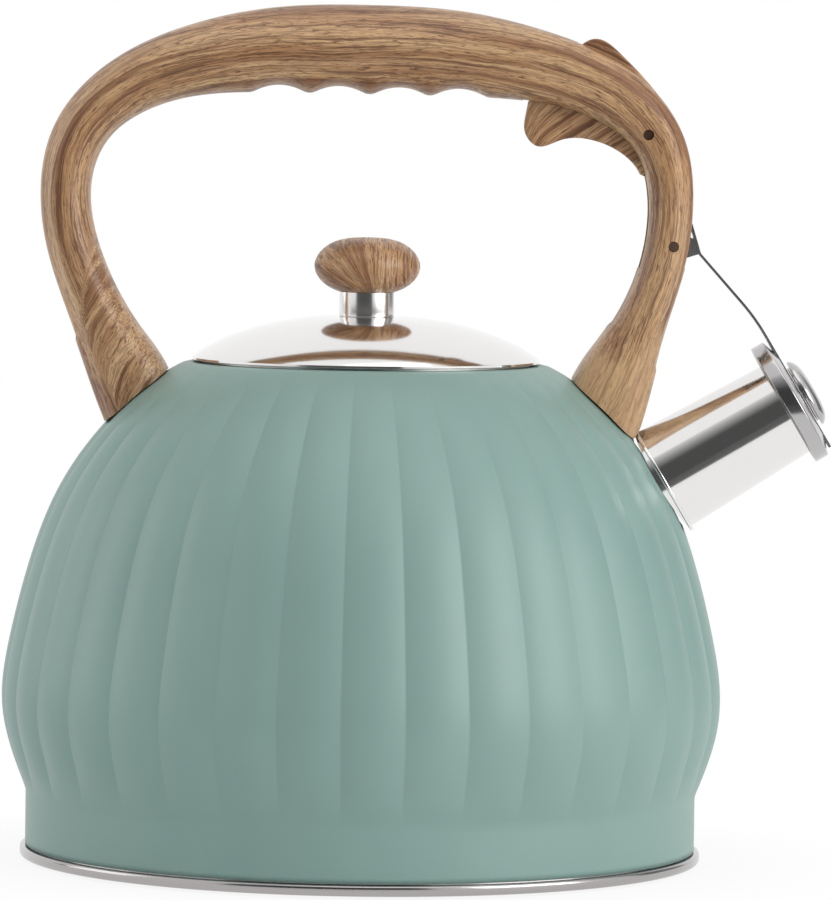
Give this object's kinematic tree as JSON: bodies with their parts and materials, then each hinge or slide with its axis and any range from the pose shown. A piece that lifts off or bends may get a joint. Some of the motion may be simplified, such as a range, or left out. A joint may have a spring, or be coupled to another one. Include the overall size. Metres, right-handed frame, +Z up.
{
  "type": "stovetop whistling kettle",
  "caption": "Stovetop whistling kettle: lobed painted steel body, arched wood-print handle, and a trigger that lifts the whistle cap off the spout.",
  "frame": {"origin": "middle of the base, on the hob", "axes": "+Z up, +X towards the spout, the handle's arch in the XZ plane"},
  "size_m": [0.2294, 0.2, 0.2378],
  "materials": {
    "sage_paint": "satin sage green enamel",
    "polished_steel": "polished stainless steel",
    "satin_steel": "satin stainless steel",
    "dark_pin": "dark oxide",
    "wood_print": "moulded plastic with a printed wood grain",
    "disc_aluminium": "plain",
    "silicone": "matt"
  },
  "bodies": {
    "kettle": {"body_shell": "sage_paint", "bottom_pan": "polished_steel", "heat_spreader": "disc_aluminium", "base_cap": "satin_steel", "neck_ring": "satin_steel", "spout": "polished_steel", "spout_flange": "polished_steel", "handle": "wood_print", "handle_screws": "satin_steel", "screw_washers": "satin_steel", "seal_washers": "silicone", "trigger_pin": "dark_pin", "arm_pin": "dark_pin", "return_spring": "satin_steel"},
    "trigger": {"trigger": "wood_print"},
    "cap": {"cap_arm": "polished_steel", "whistle_cap": "polished_steel", "whistle_plate": "satin_steel", "cap_button": "polished_steel"},
    "lid": {"lid": "polished_steel", "lid_skirt": "satin_steel", "lid_collar": "polished_steel", "lid_knob": "wood_print", "lid_screw": "satin_steel", "lid_washer": "satin_steel"}
  },
  "joints": [
    {"name": "cap_swing", "type": "hinge", "parent": "kettle", "child": "cap", "pos_m": [0.0846, 0, 0.1722], "axis": [0, -1, 0], "range_deg": [0, 39], "stiffness_Nm_per_rad": 0.08, "springref_deg": -20.05, "deforming": ["return_spring"]},
    {"name": "trigger_pull", "type": "hinge", "parent": "kettle", "child": "trigger", "pos_m": [0.0772, 0, 0.203], "axis": [0, 1, 0], "range_deg": [0, 14]},
    {"name": "lid_lift", "type": "slide", "parent": "kettle", "child": "lid", "axis": [0, 0, 1], "range_m": [0, 0.036]}
  ],
  "couplings": [
    {"joint": "trigger_pull", "follows": "cap_swing", "ratio": 0.357}
  ]
}
